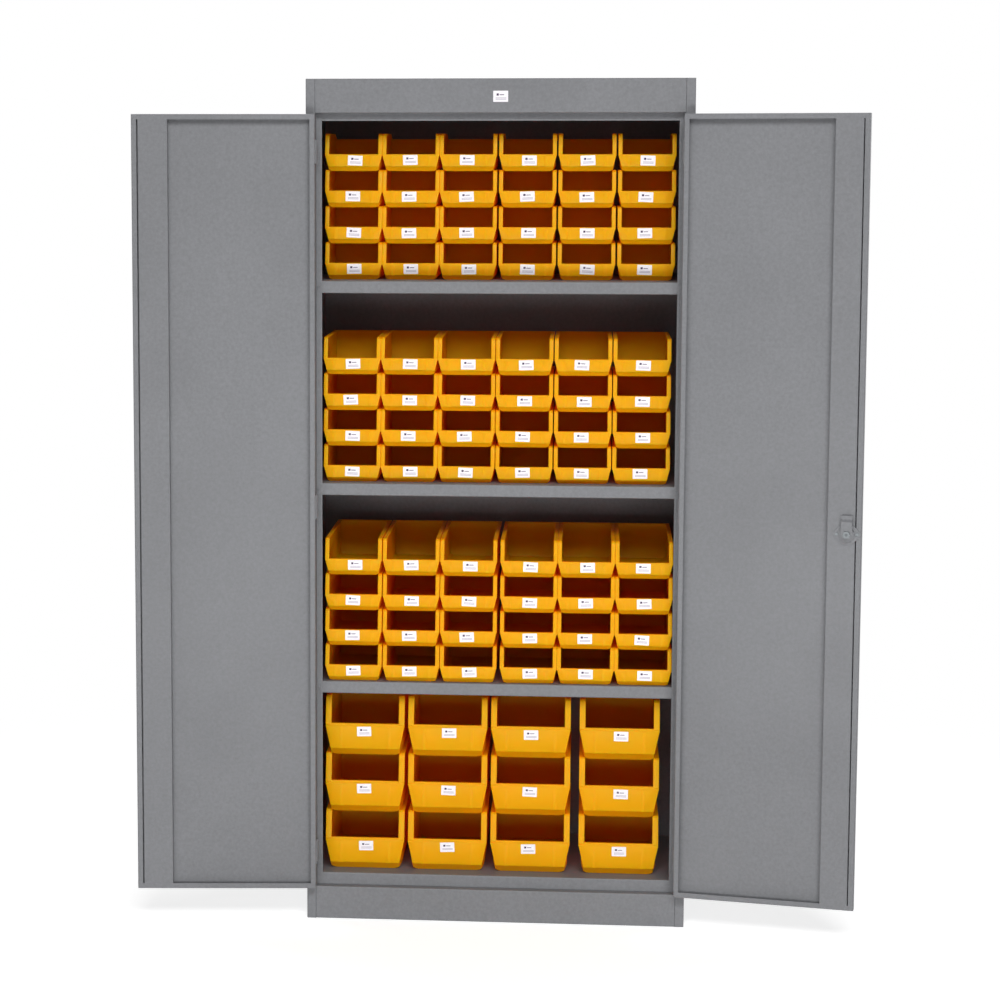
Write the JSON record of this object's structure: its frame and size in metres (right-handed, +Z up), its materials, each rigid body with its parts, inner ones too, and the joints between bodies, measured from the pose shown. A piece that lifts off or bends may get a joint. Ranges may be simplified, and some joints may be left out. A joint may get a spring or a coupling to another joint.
{
  "type": "parts bin cabinet",
  "caption": "Tall steel cabinet with two hinged doors standing open, fixed shelves and stacked open-fronted plastic parts bins.",
  "frame": {"origin": "the middle of the front foot flange, on the ground, halfway across the cabinet's width", "axes": "+Z up, +X to the right as seen from the front, +Y from the front into the cabinet; the doors stand open at rest"},
  "size_m": [1.5213, 0.5114, 1.8],
  "materials": {
    "grey_powder_coat": "fine mottled grey powder coat, satin",
    "plated_steel": "zinc-plated, dull",
    "chrome": "chrome-plated die casting",
    "yellow_plastic": "injection-moulded polypropylene, slight gloss"
  },
  "bodies": {
    "cabinet": {"left_side_panel": "grey_powder_coat", "right_side_panel": "grey_powder_coat", "top_panel": "grey_powder_coat", "floor_pan": "grey_powder_coat", "back_panel": "grey_powder_coat", "shelf_1": "grey_powder_coat", "shelf_2": "grey_powder_coat", "shelf_3": "grey_powder_coat", "shelf_brackets": "grey_powder_coat", "shelf_rivets": "grey_powder_coat", "left_hinge_frame_leaves": "grey_powder_coat", "right_hinge_frame_leaves": "grey_powder_coat", "left_hinge_pins": "plated_steel", "right_hinge_pins": "plated_steel", "bins_a_row_2": "yellow_plastic", "bins_a_row_3": "yellow_plastic", "bins_a_row_4": "yellow_plastic", "bins_b_row_2": "yellow_plastic", "bins_b_row_3": "yellow_plastic", "bins_b_row_4": "yellow_plastic", "bins_c_row_2": "yellow_plastic", "bins_c_row_3": "yellow_plastic", "bins_c_row_4": "yellow_plastic", "bins_d_row_2": "yellow_plastic", "bins_d_row_3": "yellow_plastic"},
    "left_door": {"left_door_panel": "grey_powder_coat", "left_door_channel": "grey_powder_coat", "left_hinge_door_leaves": "grey_powder_coat"},
    "right_door": {"right_door_panel": "grey_powder_coat", "right_door_channel": "grey_powder_coat", "right_hinge_door_leaves": "grey_powder_coat", "latch_flange": "grey_powder_coat", "latch_screws": "plated_steel", "handle_rose": "chrome"},
    "door_handle": {"handle": "chrome", "latch_cam": "grey_powder_coat", "cam_nut": "plated_steel"},
    "key_lock": {"lock_cylinder": "chrome"},
    "top_bin_a1": {"top_bin_a1": "yellow_plastic"},
    "top_bin_a2": {"top_bin_a2": "yellow_plastic"},
    "top_bin_a3": {"top_bin_a3": "yellow_plastic"},
    "top_bin_a4": {"top_bin_a4": "yellow_plastic"},
    "top_bin_a5": {"top_bin_a5": "yellow_plastic"},
    "top_bin_a6": {"top_bin_a6": "yellow_plastic"},
    "top_bin_b1": {"top_bin_b1": "yellow_plastic"},
    "top_bin_b2": {"top_bin_b2": "yellow_plastic"},
    "top_bin_b3": {"top_bin_b3": "yellow_plastic"},
    "top_bin_b4": {"top_bin_b4": "yellow_plastic"},
    "top_bin_b5": {"top_bin_b5": "yellow_plastic"},
    "top_bin_b6": {"top_bin_b6": "yellow_plastic"},
    "top_bin_c1": {"top_bin_c1": "yellow_plastic"},
    "top_bin_c2": {"top_bin_c2": "yellow_plastic"},
    "top_bin_c3": {"top_bin_c3": "yellow_plastic"},
    "top_bin_c4": {"top_bin_c4": "yellow_plastic"},
    "top_bin_c5": {"top_bin_c5": "yellow_plastic"},
    "top_bin_c6": {"top_bin_c6": "yellow_plastic"},
    "top_bin_d1": {"top_bin_d1": "yellow_plastic"},
    "top_bin_d2": {"top_bin_d2": "yellow_plastic"},
    "top_bin_d3": {"top_bin_d3": "yellow_plastic"},
    "top_bin_d4": {"top_bin_d4": "yellow_plastic"}
  },
  "joints": [
    {"name": "left_door_hinge", "type": "hinge", "parent": "cabinet", "child": "left_door", "pos_m": [-0.3835, -0.016, 0.9], "axis": [0, 0, -1], "range_deg": [-175, 5]},
    {"name": "right_door_hinge", "type": "hinge", "parent": "cabinet", "child": "right_door", "pos_m": [0.3835, -0.016, 0.9], "axis": [0, 0, 1], "range_deg": [-169, 11]},
    {"name": "handle_turn", "type": "hinge", "parent": "right_door", "child": "door_handle", "pos_m": [0.72635, -0.08672, 0.8678], "axis": [0.1908, 0.9816, 0], "range_deg": [0, 90]},
    {"name": "key_turn", "type": "hinge", "parent": "door_handle", "child": "key_lock", "pos_m": [0.72635, -0.08672, 0.8678], "axis": [0.1908, 0.9816, 0], "range_deg": [0, 90]},
    {"name": "pull_out_a1", "type": "slide", "parent": "cabinet", "child": "top_bin_a1", "axis": [0, -1, 0], "range_m": [0, 0.18]},
    {"name": "pull_out_a2", "type": "slide", "parent": "cabinet", "child": "top_bin_a2", "axis": [0, -1, 0], "range_m": [0, 0.18]},
    {"name": "pull_out_a3", "type": "slide", "parent": "cabinet", "child": "top_bin_a3", "axis": [0, -1, 0], "range_m": [0, 0.18]},
    {"name": "pull_out_a4", "type": "slide", "parent": "cabinet", "child": "top_bin_a4", "axis": [0, -1, 0], "range_m": [0, 0.18]},
    {"name": "pull_out_a5", "type": "slide", "parent": "cabinet", "child": "top_bin_a5", "axis": [0, -1, 0], "range_m": [0, 0.18]},
    {"name": "pull_out_a6", "type": "slide", "parent": "cabinet", "child": "top_bin_a6", "axis": [0, -1, 0], "range_m": [0, 0.18]},
    {"name": "pull_out_b1", "type": "slide", "parent": "cabinet", "child": "top_bin_b1", "axis": [0, -1, 0], "range_m": [0, 0.24]},
    {"name": "pull_out_b2", "type": "slide", "parent": "cabinet", "child": "top_bin_b2", "axis": [0, -1, 0], "range_m": [0, 0.24]},
    {"name": "pull_out_b3", "type": "slide", "parent": "cabinet", "child": "top_bin_b3", "axis": [0, -1, 0], "range_m": [0, 0.24]},
    {"name": "pull_out_b4", "type": "slide", "parent": "cabinet", "child": "top_bin_b4", "axis": [0, -1, 0], "range_m": [0, 0.24]},
    {"name": "pull_out_b5", "type": "slide", "parent": "cabinet", "child": "top_bin_b5", "axis": [0, -1, 0], "range_m": [0, 0.24]},
    {"name": "pull_out_b6", "type": "slide", "parent": "cabinet", "child": "top_bin_b6", "axis": [0, -1, 0], "range_m": [0, 0.24]},
    {"name": "pull_out_c1", "type": "slide", "parent": "cabinet", "child": "top_bin_c1", "axis": [0, -1, 0], "range_m": [0, 0.3]},
    {"name": "pull_out_c2", "type": "slide", "parent": "cabinet", "child": "top_bin_c2", "axis": [0, -1, 0], "range_m": [0, 0.3]},
    {"name": "pull_out_c3", "type": "slide", "parent": "cabinet", "child": "top_bin_c3", "axis": [0, -1, 0], "range_m": [0, 0.3]},
    {"name": "pull_out_c4", "type": "slide", "parent": "cabinet", "child": "top_bin_c4", "axis": [0, -1, 0], "range_m": [0, 0.3]},
    {"name": "pull_out_c5", "type": "slide", "parent": "cabinet", "child": "top_bin_c5", "axis": [0, -1, 0], "range_m": [0, 0.3]},
    {"name": "pull_out_c6", "type": "slide", "parent": "cabinet", "child": "top_bin_c6", "axis": [0, -1, 0], "range_m": [0, 0.3]},
    {"name": "pull_out_d1", "type": "slide", "parent": "cabinet", "child": "top_bin_d1", "axis": [0, -1, 0], "range_m": [0, 0.3]},
    {"name": "pull_out_d2", "type": "slide", "parent": "cabinet", "child": "top_bin_d2", "axis": [0, -1, 0], "range_m": [0, 0.3]},
    {"name": "pull_out_d3", "type": "slide", "parent": "cabinet", "child": "top_bin_d3", "axis": [0, -1, 0], "range_m": [0, 0.3]},
    {"name": "pull_out_d4", "type": "slide", "parent": "cabinet", "child": "top_bin_d4", "axis": [0, -1, 0], "range_m": [0, 0.3]}
  ]
}
